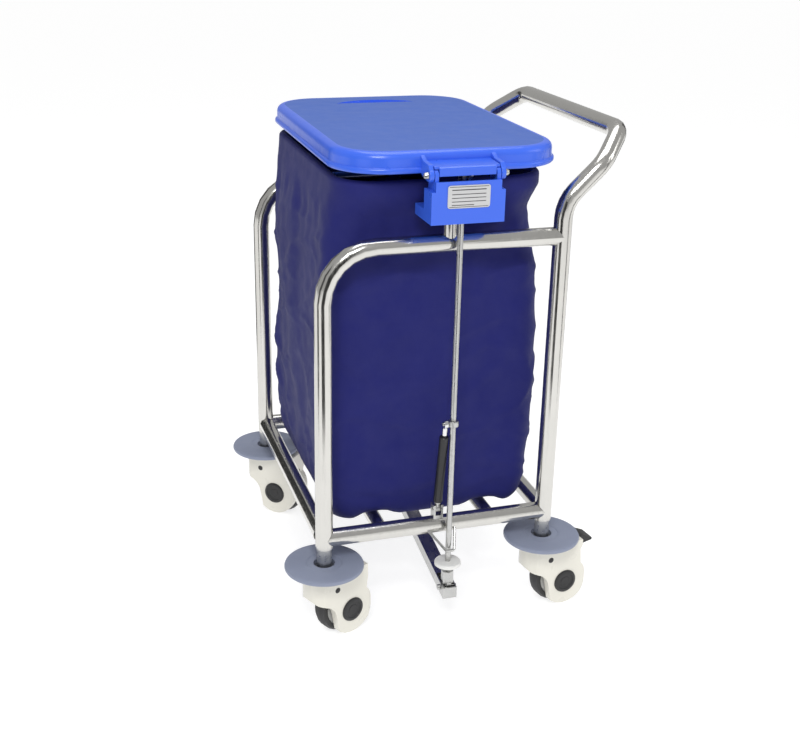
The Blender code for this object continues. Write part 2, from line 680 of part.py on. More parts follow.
def damper_piston():
    """The piston rod with its upper eye."""
    neck_end = DAMPER_LENGTH - 0.003
    profile = [(0.0, neck_end), (0.0030, neck_end), (0.0045, neck_end - 0.006), (0.0045, 0.1495), (0.0028, 0.1485),
               (0.0028, 0.070), (0.0, 0.070)]
    piston = turned("damper_piston", profile, axis_matrix(DAMPER_FOOT, DAMPER_AXIS), "zinc", 14)
    boolean(piston, damper_eye("head_eye", DAMPER_HEAD, 0.0030, 0.0072), "UNION")
    reach = Vector((0.02, 0, 0))
    return cut_cylinder(piston, DAMPER_HEAD - reach, DAMPER_HEAD + reach, 0.0036, 12)


def damper_bracket():
    """The saddle on the near rail with the damper's lower pin across it."""
    bracket = block("damper_bracket", (-0.0085, -0.254, 0.194), (0.0085, -0.238, 0.2245), "zinc")
    cut_block(bracket, (-0.0048, -0.26, 0.2055), (0.0048, -0.23, 0.23))
    cut_cylinder(bracket, (-0.03, -HALF_Y, LOW_RAIL_Z), (0.03, -HALF_Y, LOW_RAIL_Z), TUBE_R + GAP)
    pin = damper_eye("damper_bracket_pin", DAMPER_FOOT, 0.0105, 0.003, 12)
    return boolean(bracket, pin, "UNION")


def rod_collar():
    """The ring on the push rod whose stud carries the damper's upper eye."""
    z = DAMPER_HEAD.z
    inner = ROD_R + GAP
    profile = [(inner, z + 0.005), (0.0085, z + 0.005), (0.0095, z + 0.004), (0.0095, z - 0.004),
               (0.0085, z - 0.005), (inner, z - 0.005)]
    collar = turned("rod_collar", profile, Matrix.Translation((ROD_X, ROD_Y, 0)), "zinc", 12, True)
    stud = cylinder("rod_collar_stud", (-0.0055, ROD_Y, z), (ROD_X - 0.0065, ROD_Y, z), 0.003, None, 12, cutters)
    return boolean(collar, stud, "UNION")


# ---------------------------------------------------------------- bag
def bag():
    """The soft bag: an open-topped shell lofted through rounded outlines."""
    # middle X, half X, near Y, far Y, height, corner radius
    levels = (
        (0.008, 0.161, -0.2105, 0.2575, 0.786, 0.055),
        (0.008, 0.161, -0.2110, 0.2560, 0.762, 0.055),
        (0.006, 0.166, -0.2125, 0.240, 0.742, 0.055),
        (0.003, 0.175, -0.2140, 0.222, 0.690, 0.050),
        (0.004, 0.189, -0.2170, 0.217, 0.500, 0.045),
        (0.003, 0.187, -0.2170, 0.217, 0.300, 0.045),
        (0.000, 0.180, -0.2130, 0.213, 0.222, 0.045),
        (0.000, 0.168, -0.2030, 0.203, 0.2025, 0.045),
    )
    mesh = bpy.data.meshes.new("bag")
    work = bmesh.new()
    rings = []
    for middle, half, near, far, z, radius in levels:
        outline = rounded_rectangle(middle - half, middle + half, near, far, radius, 3)
        rings.append([work.verts.new((x, y, z)) for x, y in outline])
    for upper, lower in zip(rings, rings[1:]):
        for i in range(len(upper)):
            j = (i + 1) % len(upper)
            work.faces.new((upper[i], lower[i], lower[j], upper[j]))
    work.faces.new(list(reversed(rings[-1])))
    work.to_mesh(mesh)
    work.free()
    obj = place(mesh_object(mesh), "bag", "navy_cloth")
    cloth = obj.modifiers.new("cloth", "SOLIDIFY")
    cloth.thickness = 0.002
    cloth.offset = -1.0
    return obj


# ---------------------------------------------------------------- casters
def hood_outline(braked):
    """Side shape of a caster hood; u runs from the swivel axis to the wheel, then Z."""
    axle = (CASTER_TRAIL, WHEEL_R)
    nose = [(-0.040, HOOD_TOP), (-0.040, 0.090)] + arc((-0.022, 0.090), 0.016, 200, 262, 3)
    throat = arc((-0.030, 0.042), 0.033, 78, 8, 5)
    cheek = arc(axle, 0.0445, 232, 405, 10)
    heel = [(0.0655, 0.1085), (0.0690, 0.1150), (0.0690, HOOD_TOP)] if braked else [(0.0700, 0.1000), (0.0700, HOOD_TOP)]
    return nose + throat + cheek + heel


def caster_matrix(x, y, heading):
    """A caster's own axes: local X along the trail, origin on the floor below the stem."""
    return Matrix.Translation((x, y, 0)) @ Matrix.Rotation(math.radians(heading), 4, "Z")


def across(own, u, z):
    """Local Z to the axle's direction, through a point of the hood's side shape."""
    return own @ Matrix.Translation((u, 0, z)) @ Matrix.Rotation(math.pi / 2, 4, "X")


def caster_hood(name, own, braked):
    """The moulded hood that carries the wheel and swivels under the stem."""
    hood = plate(name, hood_outline(braked), 2 * HOOD_HALF_W, own @ Matrix.Rotation(math.pi / 2, 4, "X"),
                 "caster_white")
    soften(hood, 0.005, 1, 50)
    plan = (arc((0, 0), 0.037, 110, 250, 7) + arc((0.056, -0.019), 0.014, 270, 360, 2)
            + arc((0.056, 0.019), 0.014, 0, 90, 2))
    tall = Matrix.Translation((0, 0, 0.07))
    boolean(hood, plate(name + "_plan", plan_with_bulge(plan), 0.2, own @ tall, None, cutters), "INTERSECT")
    slot = turned(name + "_slot", [(0.0, 0.017), (0.0530, 0.017), (0.0530, -0.017), (0.0, -0.017)],
                  across(own, CASTER_TRAIL, WHEEL_R), None, 20, False, cutters)
    boolean(hood, slot)
    bore = turned(name + "_bore", [(0.0, 0.05), (0.0042, 0.05), (0.0042, -0.05), (0.0, -0.05)],
                  across(own, CASTER_TRAIL, WHEEL_R), None, 12, False, cutters)
    boolean(hood, bore)
    socket = turned(name + "_socket", [(0.0, 0.14), (0.0064, 0.14), (0.0064, 0.1095), (0.0, 0.1095)],
                    own, None, 16, False, cutters)
    boolean(hood, socket)
    if braked:
        notch = [(0.0505, 0.1065), (0.0805, 0.1065), (0.0805, 0.14), (0.0505, 0.14)]
        tool = plate(name + "_notch", notch, 0.034, own @ Matrix.Rotation(math.pi / 2, 4, "X"), None, cutters)
        boolean(hood, tool)
        pivot = turned(name + "_pivot", [(0.0, 0.0235), (0.0034, 0.0235), (0.0034, -0.0235), (0.0, -0.0235)],
                       across(own, BRAKE_U, BRAKE_Z), None, 12, False, cutters)
        boolean(hood, pivot)
    return hood


def plan_with_bulge(plan):
    """Widen the hood's plan outline to its full reach along the trail."""
    return [(u + 0.013 if u > 0.03 else u, v) for u, v in plan]


def brake_pedal(name, own):
    """The black brake tongue at the back of a hood, with its own stub pins."""
    outline = arc((BRAKE_U, BRAKE_Z), 0.0055, 120, 250, 5) + [(0.078, 0.1088), (0.098, 0.1125), (0.0985, 0.1165),
                                                           (0.080, 0.1245), (0.064, 0.1225)]
    pedal = plate(name, outline, 0.032, own @ Matrix.Rotation(math.pi / 2, 4, "X"), "black_plastic")
    stub = turned(name + "_stub", [(0.0, 0.0225), (0.003, 0.0225), (0.003, -0.0225), (0.0, -0.0225)],
                  across(own, BRAKE_U, BRAKE_Z), None, 12, False, cutters)
    boolean(pedal, stub, "UNION")
    return set_origin(pedal, own @ Vector((BRAKE_U, 0, BRAKE_Z)))


def caster_stem(name, own):
    """The fixed stem: plug in the leg, bearing flange and swivel pin."""
    profile = [(0.0, 0.203), (0.013, 0.203), (0.013, 0.1322), (0.035, 0.1322),
               (0.035, 0.1270), (0.006, 0.1270), (0.006, 0.1105), (0.0, 0.1105)]
    return turned(name, profile, own, "zinc", 14)


def caster_bumper(name, own):
    """The round buffer disc that lies on the stem's flange."""
    low = 0.1324
    profile = [(0.018, BUMPER_TOP), (BUMPER_R - 0.005, BUMPER_TOP), (BUMPER_R, BUMPER_TOP - 0.004),
               (BUMPER_R, low), (0.018, low)]
    return turned(name, profile, own, "bumper_grey", 32, True)


def wheel_core(name, own):
    """The rigid wheel centre, with a hub longer than its web."""
    half = [(0.0045, 0.0162), (0.0130, 0.0162), (0.0150, 0.0100), (0.0385, 0.0120)]
    profile = half + [(r, -v) for r, v in reversed(half)]
    core = turned(name, profile, across(own, CASTER_TRAIL, WHEEL_R), "caster_white", 16, True)
    return core


def wheel_tyre(name, own):
    """The dark tread moulded round the wheel centre."""
    half = [(0.0388, 0.0130), (0.0465, 0.0130), (WHEEL_R, 0.0060)]
    profile = half + [(r, -v) for r, v in reversed(half)]
    return turned(name, profile, across(own, CASTER_TRAIL, WHEEL_R), "dark_rubber", 28, True)


def axle(name, own):
    """The axle with its two large round caps."""
    face = HOOD_HALF_W + GAP
    half = [(0.0, face + 0.0028), (0.019, face + 0.0018), (0.022, face), (0.0038, face)]
    profile = half + [(r, -v) for r, v in reversed(half)]
    return turned(name, profile, across(own, CASTER_TRAIL, WHEEL_R), "black_plastic", 14)


def casters():
    for corner, side_x, side_y, heading, braked in CASTERS:
        own = caster_matrix(side_x * HALF_X, side_y * HALF_Y, heading)
        caster_stem(corner + "_caster_stem", own)
        caster_bumper(corner + "_bumper", caster_matrix(side_x * HALF_X, side_y * HALF_Y, 0))
        caster_hood(corner + "_caster_hood", own, braked)
        axle(corner + "_axle", own)
        wheel_core(corner + "_wheel", own)
        wheel_tyre(corner + "_tyre", own)
        if braked:
            brake_pedal(corner + "_brake_pedal", own)


# ---------------------------------------------------------------- assembly
frame()
hinge_housing()
hinge_pin()
lid()
lid_crank()
label_plate()
push_rod()
rod_foot()
stop_disc()
rod_guide()
pedal_lever()
lever_pin()
lever_bracket()
lever_bolt()
pedal_pad()
damper_foot_eye()
damper_cylinder()
damper_piston()
damper_bracket()
rod_collar()
bag()
casters()
for group in (parts, cutters):
    for piece in group.objects:
        piece.location += SHIFT
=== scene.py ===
"""Visual model of the housekeeping cart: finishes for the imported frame, and finer pieces on it."""

import json
import math

import bmesh
import bpy
from mathutils import Matrix, Vector, noise


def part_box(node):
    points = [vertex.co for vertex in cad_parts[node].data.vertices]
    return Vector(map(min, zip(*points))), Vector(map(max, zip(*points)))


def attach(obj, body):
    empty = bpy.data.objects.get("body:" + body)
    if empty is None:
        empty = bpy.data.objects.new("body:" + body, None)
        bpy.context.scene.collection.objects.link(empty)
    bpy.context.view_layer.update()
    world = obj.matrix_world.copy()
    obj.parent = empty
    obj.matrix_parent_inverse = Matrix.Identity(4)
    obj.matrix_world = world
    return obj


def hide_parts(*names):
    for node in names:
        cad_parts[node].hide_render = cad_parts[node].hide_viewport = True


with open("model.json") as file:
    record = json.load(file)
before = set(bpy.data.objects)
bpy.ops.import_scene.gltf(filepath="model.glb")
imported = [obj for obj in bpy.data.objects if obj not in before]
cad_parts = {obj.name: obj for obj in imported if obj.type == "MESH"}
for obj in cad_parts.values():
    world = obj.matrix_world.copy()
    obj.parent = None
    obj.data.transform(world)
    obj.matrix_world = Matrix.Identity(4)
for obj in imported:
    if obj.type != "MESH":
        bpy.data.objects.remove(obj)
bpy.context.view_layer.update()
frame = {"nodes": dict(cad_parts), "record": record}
nodes = frame["nodes"]

CASTER_HEADINGS = {"near_left": 24, "near_right": 8, "far_left": -42, "far_right": -8}
lid_low, lid_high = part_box("lid")
label_low, label_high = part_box("label_plate")
LID_X = (label_low.x + label_high.x) / 2          # the middle of the lid and of its linkage
HINGE_Y, HINGE_Z = -0.290, 0.800                  # the axis of the lid's hinge


# ---------------------------------------------------------------- materials
def principled(name, colour, roughness, metallic=0.0, sockets=None):
    """A Principled material with its constants on the shader's sockets."""
    mat = bpy.data.materials.new(name)
    mat.use_nodes = True
    shader = mat.node_tree.nodes["Principled BSDF"]
    shader.inputs["Base Color"].default_value = (*colour, 1)
    shader.inputs["Roughness"].default_value = roughness
    shader.inputs["Metallic"].default_value = metallic
    for socket, value in (sockets or {}).items():
        shader.inputs[socket].default_value = value
    return mat


def node(mat, kind, settings=None, **attributes):
    """One shader node with its input values and attributes."""
    made = mat.node_tree.nodes.new(kind)
    for key, value in attributes.items():
        setattr(made, key, value)
    for socket, value in (settings or {}).items():
        made.inputs[socket].default_value = value
    return made


def link(mat, source, target):
    mat.node_tree.links.new(source, target)


def coordinates(mat, stretch=(1, 1, 1), output="Object"):
    """Mapped texture coordinates that stay with the piece."""
    source = node(mat, "ShaderNodeTexCoord")
    mapping = node(mat, "ShaderNodeMapping", {"Scale": stretch})
    link(mat, source.outputs[output], mapping.inputs["Vector"])
    return mapping.outputs["Vector"]


def noise_value(mat, vector, scale, detail=4.0):
    made = node(mat, "ShaderNodeTexNoise", {"Scale": scale, "Detail": detail})
    link(mat, vector, made.inputs["Vector"])
    return made.outputs["Fac"]


def vary_roughness(mat, value, low, high):
    """Spreads the noise's usual range, 0.3 to 0.7, over the roughness range."""
    ranges = {"From Min": 0.3, "From Max": 0.7, "To Min": low, "To Max": high}
    spread = node(mat, "ShaderNodeMapRange", ranges)
    link(mat, value, spread.inputs["Value"])
    link(mat, spread.outputs["Result"], mat.node_tree.nodes["Principled BSDF"].inputs["Roughness"])


def vary_colour(mat, value, first, second):
    """Mixes two colours; the Mix node's colour sockets are inputs 6 and 7 and output 2."""
    blend = node(mat, "ShaderNodeMix", data_type="RGBA")
    blend.inputs[6].default_value = (*first, 1)
    blend.inputs[7].default_value = (*second, 1)
    link(mat, value, blend.inputs[0])
    link(mat, blend.outputs[2], mat.node_tree.nodes["Principled BSDF"].inputs["Base Color"])


def raise_surface(mat, value, strength, distance):
    bump = node(mat, "ShaderNodeBump", {"Strength": strength, "Distance": distance})
    link(mat, value, bump.inputs["Height"])
    link(mat, bump.outputs["Normal"], mat.node_tree.nodes["Principled BSDF"].inputs["Normal"])


def metal(name, first, second, rough, grain, stretch=(1, 1, 1)):
    """Polished or plated metal with a fine grain and slightly uneven colour."""
    mat = principled(name, first, rough[0], 1.0)
    vector = coordinates(mat, stretch)
    value = noise_value(mat, vector, grain)
    vary_roughness(mat, value, rough[0], rough[1])
    vary_colour(mat, noise_value(mat, coordinates(mat), 22.0), first, second)
    raise_surface(mat, value, 0.05, 0.0004)
    return mat


def plastic(name, first, second, rough, grain, bump, sockets=None):
    """Moulded plastic, rubber or paint with a fine surface grain."""
    mat = principled(name, first, rough[0], 0.0, sockets)
    vector = coordinates(mat)
    value = noise_value(mat, vector, grain)
    vary_roughness(mat, noise_value(mat, vector, 35.0), rough[0], rough[1])
    vary_colour(mat, noise_value(mat, vector, 14.0), first, second)
    raise_surface(mat, value, bump, 0.0003)
    return mat


def woven(name, first, second):
    """Plain-weave nylon: two crossed thread waves over the cloth's own UVs, in metres."""
    mat = principled(name, first, 0.62, 0.0, {"Sheen Weight": 0.06, "Sheen Roughness": 0.4,
                                               "Specular IOR Level": 0.22})
    vector = coordinates(mat, (1, 1, 1), "UV")
    threads = []
    for direction in ("X", "Y"):
        wave = node(mat, "ShaderNodeTexWave", {"Scale": 165.0, "Distortion": 0.6, "Detail": 1.0},
                    wave_type="BANDS", bands_direction=direction)
        link(mat, vector, wave.inputs["Vector"])
        threads.append(wave.outputs["Fac"])
    cross = node(mat, "ShaderNodeMath", operation="MULTIPLY")
    link(mat, threads[0], cross.inputs[0])
    link(mat, threads[1], cross.inputs[1])
    slub = node(mat, "ShaderNodeMath", operation="ADD")
    link(mat, cross.outputs[0], slub.inputs[0])
    link(mat, noise_value(mat, coordinates(mat, (90, 14, 1), "UV"), 1.0, 6.0), slub.inputs[1])
    vary_colour(mat, noise_value(mat, coordinates(mat), 9.0, 6.0), first, second)
    vary_roughness(mat, noise_value(mat, coordinates(mat), 30.0), 0.58, 0.80)
    raise_surface(mat, slub.outputs[0], 0.35, 0.0006)
    return mat


finishes = {
    "polished_steel": metal("polished_steel", (0.66, 0.65, 0.62), (0.60, 0.59, 0.56),
                            (0.12, 0.24), 240.0, (1, 1, 0.12)),
    "zinc": metal("zinc_plate", (0.60, 0.60, 0.59), (0.48, 0.48, 0.47), (0.24, 0.42), 160.0),
    "chrome": metal("chrome_rod", (0.78, 0.78, 0.78), (0.72, 0.72, 0.72), (0.06, 0.12), 300.0),
    "black_paint": plastic("black_paint", (0.010, 0.010, 0.012), (0.016, 0.016, 0.018),
                           (0.28, 0.40), 420.0, 0.05),
    "blue_plastic": plastic("blue_plastic", (0.036, 0.120, 0.700), (0.042, 0.132, 0.740),
                            (0.27, 0.36), 700.0, 0.03,
                            {"Coat Weight": 0.20, "Coat Roughness": 0.12, "IOR": 1.46}),
    # The lid's upward faces: the same blue plastic, rougher (real satin), in a duller, greyer blue
    # that is painted sky sheen on the top.
    "blue_satin_and_painted_sheen": plastic("blue_satin_and_painted_sheen", (0.050, 0.118, 0.430), (0.058, 0.130, 0.460),
                          (0.46, 0.58), 700.0, 0.04, {"Specular IOR Level": 0.40}),
    "black_plastic": plastic("black_plastic", (0.012, 0.012, 0.013), (0.020, 0.020, 0.021),
                             (0.40, 0.55), 700.0, 0.15),
    "white_plastic": plastic("white_plastic", (0.82, 0.82, 0.80), (0.78, 0.78, 0.76),
                             (0.35, 0.45), 500.0, 0.05),
    "cream_plastic": plastic("cream_plastic", (0.80, 0.78, 0.70), (0.74, 0.72, 0.64),
                             (0.26, 0.38), 600.0, 0.08,
                             {"Coat Weight": 0.2, "Coat Roughness": 0.2}),
    "grey_plastic": plastic("grey_plastic", (0.55, 0.55, 0.53), (0.48, 0.48, 0.47),
                            (0.40, 0.55), 500.0, 0.08),
    "dark_rubber": plastic("dark_rubber", (0.030, 0.030, 0.032), (0.045, 0.045, 0.046),
                           (0.55, 0.75), 350.0, 0.25),
    "bumper_rubber": plastic("bumper_rubber", (0.235, 0.265, 0.360), (0.255, 0.285, 0.385),
                             (0.42, 0.60), 420.0, 0.18),
    "navy_fabric": woven("navy_fabric", (0.0100, 0.0120, 0.1150), (0.0140, 0.0165, 0.1450)),
    "label": metal("label_silver", (0.70, 0.70, 0.70), (0.64, 0.64, 0.65),
                   (0.30, 0.40), 500.0, (0.1, 1, 1)),
    "ink": plastic("label_ink", (0.03, 0.03, 0.035), (0.05, 0.05, 0.055), (0.5, 0.6), 600.0, 0.05),
}


def finish_frame():
    """Gives every CAD node its finish, with smooth shading between its sharp edges."""
    slot_of = {part["node"]: part["material_slot"] for part in frame["record"]["subparts"]}
    for name, obj in nodes.items():
        if "custom_normal" in obj.data.attributes:
            obj.data.attributes.remove(obj.data.attributes["custom_normal"])
        obj.data.polygons.foreach_set("use_smooth", [True] * len(obj.data.polygons))
        if not obj.material_slots:
            obj.data.materials.append(None)
        for held in obj.material_slots:
            held.material = finishes[slot_of[name]]
        add_shading(obj)


def add_shading(obj):
    """Smooth shading that breaks at edges sharper than 38 degrees."""
    weld = obj.modifiers.new("weld", "WELD")
    weld.merge_threshold = 0.00001
    split = obj.modifiers.new("split", "EDGE_SPLIT")
    split.split_angle = math.radians(38)
    weighted = obj.modifiers.new("weighted", "WEIGHTED_NORMAL")
    weighted.keep_sharp = True


# ---------------------------------------------------------------- shape helpers
def piece(name, mesh_source, finish, body):
    """Turns a bmesh into a smooth-shaded piece that rides on a body."""
    mesh = bpy.data.meshes.new(name)
    mesh_source.to_mesh(mesh)
    mesh_source.free()
    obj = bpy.data.objects.new(name, mesh)
    bpy.context.scene.collection.objects.link(obj)
    mesh.materials.append(finishes[finish])
    mesh.polygons.foreach_set("use_smooth", [True] * len(mesh.polygons))
    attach(obj, body)
    return obj


def ring_outline(x0, x1, y0, y1, radius, corner_steps=10, x_steps=24, y_steps=30):
    """Points round a rounded rectangle, counter-clockwise, each with its outward direction."""
    points = []
    corners = (
        (x1 - radius, y1 - radius, 0, (-1, 0), x_steps, (x1 - x0) - 2 * radius),
        (x0 + radius, y1 - radius, 90, (0, -1), y_steps, (y1 - y0) - 2 * radius),
        (x0 + radius, y0 + radius, 180, (1, 0), x_steps, (x1 - x0) - 2 * radius),
        (x1 - radius, y0 + radius, 270, (0, 1), y_steps, (y1 - y0) - 2 * radius),
    )
    for cx, cy, start, along, steps, length in corners:
        for i in range(corner_steps + 1):
            angle = math.radians(start + 90 * i / corner_steps)
            out = Vector((math.cos(angle), math.sin(angle)))
            points.append((Vector((cx, cy)) + radius * out, out))
        corner_end, out = points[-1]
        for i in range(1, steps):
            points.append((corner_end + Vector(along) * length * i / steps, out))
    return points


def loft(rings, close_first=False, close_last=False):
    """A quad skin through rings of equally many points."""
    work = bmesh.new()
    made = [[work.verts.new(point) for point in ring] for ring in rings]
    count = len(made[0])
    for lower, upper in zip(made, made[1:]):
        for i in range(count):
            j = (i + 1) % count
            work.faces.new((lower[i], lower[j], upper[j], upper[i]))
    if close_first:
        work.faces.new(list(reversed(made[0])))
    if close_last:
        work.faces.new(made[-1])
    return work


def turned(profile, matrix, sides=48):
    """A surface of revolution about local Z from (radius, height) pairs."""
    work = bmesh.new()
    turn = [2 * math.pi * i / sides for i in range(sides)]
    rings = []
    for radius, height in profile:
        spots = [(0, 0, height)]                  # a single point where the profile meets the axis
        if radius != 0:
            spots = [(radius * math.cos(a), radius * math.sin(a), height) for a in turn]
        rings.append([work.verts.new(matrix @ Vector(spot)) for spot in spots])
    for first, second in zip(rings, rings[1:]):
        for i in range(sides):
            j = (i + 1) % sides
            corners = (first[i % len(first)], first[j % len(first)],
                       second[j % len(second)], second[i % len(second)])
            unique = list(dict.fromkeys(corners))
            if len(unique) > 2:
                work.faces.new(unique)
    bmesh.ops.recalc_face_normals(work, faces=work.faces)
    return work


def extruded(outline, x0, x1):
    """A side outline in (Y, Z) pushed from x0 to x1."""
    work = bmesh.new()
    left = [work.verts.new((x0, y, z)) for y, z in outline]
    right = [work.verts.new((x1, y, z)) for y, z in outline]
    for i in range(len(outline)):
        j = (i + 1) % len(outline)
        work.faces.new((left[i], left[j], right[j], right[i]))
    work.faces.new(list(reversed(left)))
    work.faces.new(right)
    bmesh.ops.recalc_face_normals(work, faces=work.faces)
    return work


def round_edges(obj, width, segments=3):
    """Rounds every edge sharper than 35 degrees."""
    bevel = obj.modifiers.new("round", "BEVEL")
    bevel.width = width
    bevel.segments = segments
    bevel.limit_method = "ANGLE"
    bevel.angle_limit = math.radians(35)
    weighted = obj.modifiers.new("weighted", "WEIGHTED_NORMAL")
    weighted.keep_sharp = False


def apply_modifiers(obj):
    """Bakes an object's modifiers into its mesh."""
    depsgraph = bpy.context.evaluated_depsgraph_get()
    baked = bpy.data.meshes.new_from_object(obj.evaluated_get(depsgraph))
    obj.modifiers.clear()
    obj.data = baked


def arc(centre, radius, start, end, steps):
    """Points on a circle from one angle to another, in degrees."""
    turn = [math.radians(start + (end - start) * i / steps) for i in range(steps + 1)]
    return [(centre[0] + radius * math.cos(a), centre[1] + radius * math.sin(a)) for a in turn]


# ---------------------------------------------------------------- lid
LID_NEAR_Y = -0.257                               # the shell's near edge, without the flap
LID_HEIGHT = 0.033
LID_CORNER = 0.088
# Inset from the shell's outline and height above its lower rim.
LID_INSIDE = [(0.030, 0.0232), (0.018, 0.0232), (0.0120, 0.0228), (0.0085, 0.0212),
              (0.0072, 0.0180), (0.0070, 0.0025)]
LID_BEAD = [(0.0066, 0.0006), (0.0050, 0.0000), (0.0022, 0.0003), (0.0005, 0.0020),
            (0.0, 0.0045), (0.0005, 0.0070), (0.0020, 0.0086), (0.0034, 0.0092), (0.0040, 0.0106)]
LID_SHOULDER = [(0.016 - 0.012 * math.cos(a), 0.0208 + 0.012 * math.sin(a))
                for a in [math.radians(10 * i) for i in range(10)]]
LID_TOP = [(0.0180, 0.0329), (0.0205, 0.0330), (0.024, 0.0330)]


def recess_cutter():
    """The finger recess: a segment of a circle whose floor falls towards its far, curved edge."""
    bow = arc((LID_X, 0.1300), 0.105, 45, 135, 40)
    near_edge = bow[0][1]
    length = 0.0308
    top = lid_high.z
    work = bmesh.new()
    low = [work.verts.new((x, y, top - 0.0028 - 0.0060 * (y - near_edge) / length)) for x, y in bow]
    high = [work.verts.new((x, y + 0.001, top + 0.004)) for x, y in bow]
    for i in range(len(bow)):
        j = (i + 1) % len(bow)
        work.faces.new((low[i], low[j], high[j], high[i]))
    work.faces.new(list(reversed(low)))
    work.faces.new(high)
    bmesh.ops.recalc_face_normals(work, faces=work.faces)
    mesh = bpy.data.meshes.new("recess")
    work.to_mesh(mesh)
    work.free()
    cutter = bpy.data.objects.new("recess", mesh)
    bpy.context.scene.collection.objects.link(cutter)
    return cutter


def lid_shell():
    """The moulded lid: bead round the rim, rounded shoulder, satin top whose duller colour is
    painted sky sheen, and finger recess.
    """
    rim = lid_high.z - LID_HEIGHT
    rings = []
    for inset, rise in LID_INSIDE + LID_BEAD + LID_SHOULDER + LID_TOP:
        outline = ring_outline(lid_low.x + inset, lid_high.x - inset, LID_NEAR_Y + inset,
                               lid_high.y - inset, LID_CORNER - inset, 16, 8, 8)
        rings.append([(p.x, p.y, rim + rise) for p, _ in outline])
    skin = loft(rings, True, True)
    bmesh.ops.recalc_face_normals(skin, faces=skin.faces)
    shell = piece("lid_shell", skin, "blue_plastic", "lid_body")
    cutter = recess_cutter()
    cut = shell.modifiers.new("recess", "BOOLEAN")
    cut.object = cutter
    cut.operation = "DIFFERENCE"
    cut.solver = "EXACT"
    apply_modifiers(shell)
    bpy.data.objects.remove(cutter)
    shell.data.materials.append(finishes["blue_satin_and_painted_sheen"])
    # The flat faces on top that face up take the second finish, whose duller blue is painted sky
    # sheen.
    for face in shell.data.polygons:
        if face.normal.z > 0.999 and face.center.z > lid_high.z - 0.0004:
            face.material_index = 1
    add_shading(shell)
    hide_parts("lid")


def lid_part(name, outline, x0, x1, width, segments):
    """One extruded, edge-rounded piece of the lid's hinge side."""
    made = piece(name, extruded(outline, x0, x1), "blue_plastic", "lid_body")
    round_edges(made, width, segments)


def lid_hinge_flap():
    """The flap over the housing, its lip, and an arm with a knuckle at each end."""
    panel = [(-0.2935, 0.8090), (-0.2935, 0.8135), (-0.2500, 0.8150), (-0.2500, 0.8090)]
    lid_part("lid_flap", panel, LID_X - 0.0525, LID_X + 0.0525, 0.0012, 3)
    lip = [(-0.2975, 0.7988), (-0.2975, 0.8110), (-0.2940, 0.8134), (-0.2900, 0.8134),
           (-0.2900, 0.8088), (-0.2945, 0.8070), (-0.2945, 0.7988)]
    lid_part("lid_flap_lip", lip, LID_X - 0.0455, LID_X + 0.0455, 0.0008, 2)
    knuckle = arc((HINGE_Y, HINGE_Z), 0.010, 115, 270, 14)
    arm = knuckle + [(-0.2640, 0.7925), (-0.2535, 0.7975), (-0.2425, 0.8235), (-0.2445, 0.8255),
                     (-0.2525, 0.8225), (-0.2640, 0.8172), (-0.2900, 0.8158)]
    lid_part("lid_arm_left", arm, LID_X - 0.0608, LID_X - 0.0535, 0.0010, 2)
    lid_part("lid_arm_right", arm, LID_X + 0.0535, LID_X + 0.0608, 0.0010, 2)


# Start and end across the label plate, height up it, and half thickness, all as shares of it.
LABEL_BARS = (
    (0.10, 0.90, 0.80, 0.022), (0.10, 0.90, 0.61, 0.016), (0.10, 0.90, 0.45, 0.016),
    (0.10, 0.90, 0.29, 0.016), (0.10, 0.62, 0.14, 0.016), (0.04, 0.96, 0.93, 0.012),
    (0.04, 0.96, 0.06, 0.012),
)


def label_rules():
    """Plain ruled lines on the label plate."""
    work = bmesh.new()
    front = label_low.y - 0.00012
    width = label_high.x - label_low.x
    height = label_high.z - label_low.z
    for start, end, level, thick in LABEL_BARS:
        low = Vector((label_low.x + start * width, front,
                      label_low.z + (level - thick) * height))
        high = Vector((label_low.x + end * width, front + 0.0001,
                       label_low.z + (level + thick) * height))
        place = Matrix.Translation((low + high) / 2) @ Matrix.Diagonal((*(high - low), 1))
        bmesh.ops.create_cube(work, size=1.0, matrix=place)
    piece("label_rules", work, "ink", "frame")


# ---------------------------------------------------------------- bag
BAG_LEVELS = (
    # low X and high X from the lid's middle, near Y, far Y, height, corner radius
    (-0.1799, 0.1696, -0.2262, 0.2726, 0.7720, 0.0660),
    (-0.1812, 0.1689, -0.2262, 0.2722, 0.7450, 0.0640),
    (-0.1837, 0.1623, -0.2185, 0.2660, 0.7380, 0.0620),
    (-0.1862, 0.1533, -0.2120, 0.2570, 0.7290, 0.0600),
    (-0.1892, 0.1563, -0.2090, 0.2440, 0.7050, 0.0560),
    (-0.1932, 0.1673, -0.2110, 0.2320, 0.6600, 0.0500),
    (-0.1977, 0.1773, -0.2150, 0.2200, 0.5600, 0.0420),
    (-0.1987, 0.1813, -0.2165, 0.2180, 0.4200, 0.0380),
    (-0.1952, 0.1763, -0.2165, 0.2165, 0.3000, 0.0360),
    (-0.1917, 0.1683, -0.2155, 0.2155, 0.2300, 0.0350),
    (-0.1887, 0.1633, -0.2130, 0.2130, 0.2130, 0.0360),
    (-0.1817, 0.1563, -0.2060, 0.2060, 0.2040, 0.0380),
)
BAG_TOP = BAG_LEVELS[0][4]
BAG_FLOOR = BAG_LEVELS[-1][4]
CROSS_BARS = (LID_X - 0.111, LID_X + 0.085)       # the bag rests on these two bars
SEAM_X = 0.0073                                   # the near side's upright seam
FLOOR_RINGS = 18
WALL_RINGS = 126
HEM_RINGS = 7
HOOP_REACH = 0.0066                               # half of the width of the cloth over the hoop
HEM_DEPTH = 0.0240
CLOTH_ROUND = 1.62                                # metres of cloth round the bag
CLOTH_THICKNESS = 0.0009


def placed(level):
    """A bag level with its X limits in the frame."""
    return [LID_X + level[0], LID_X + level[1], *level[2:]]


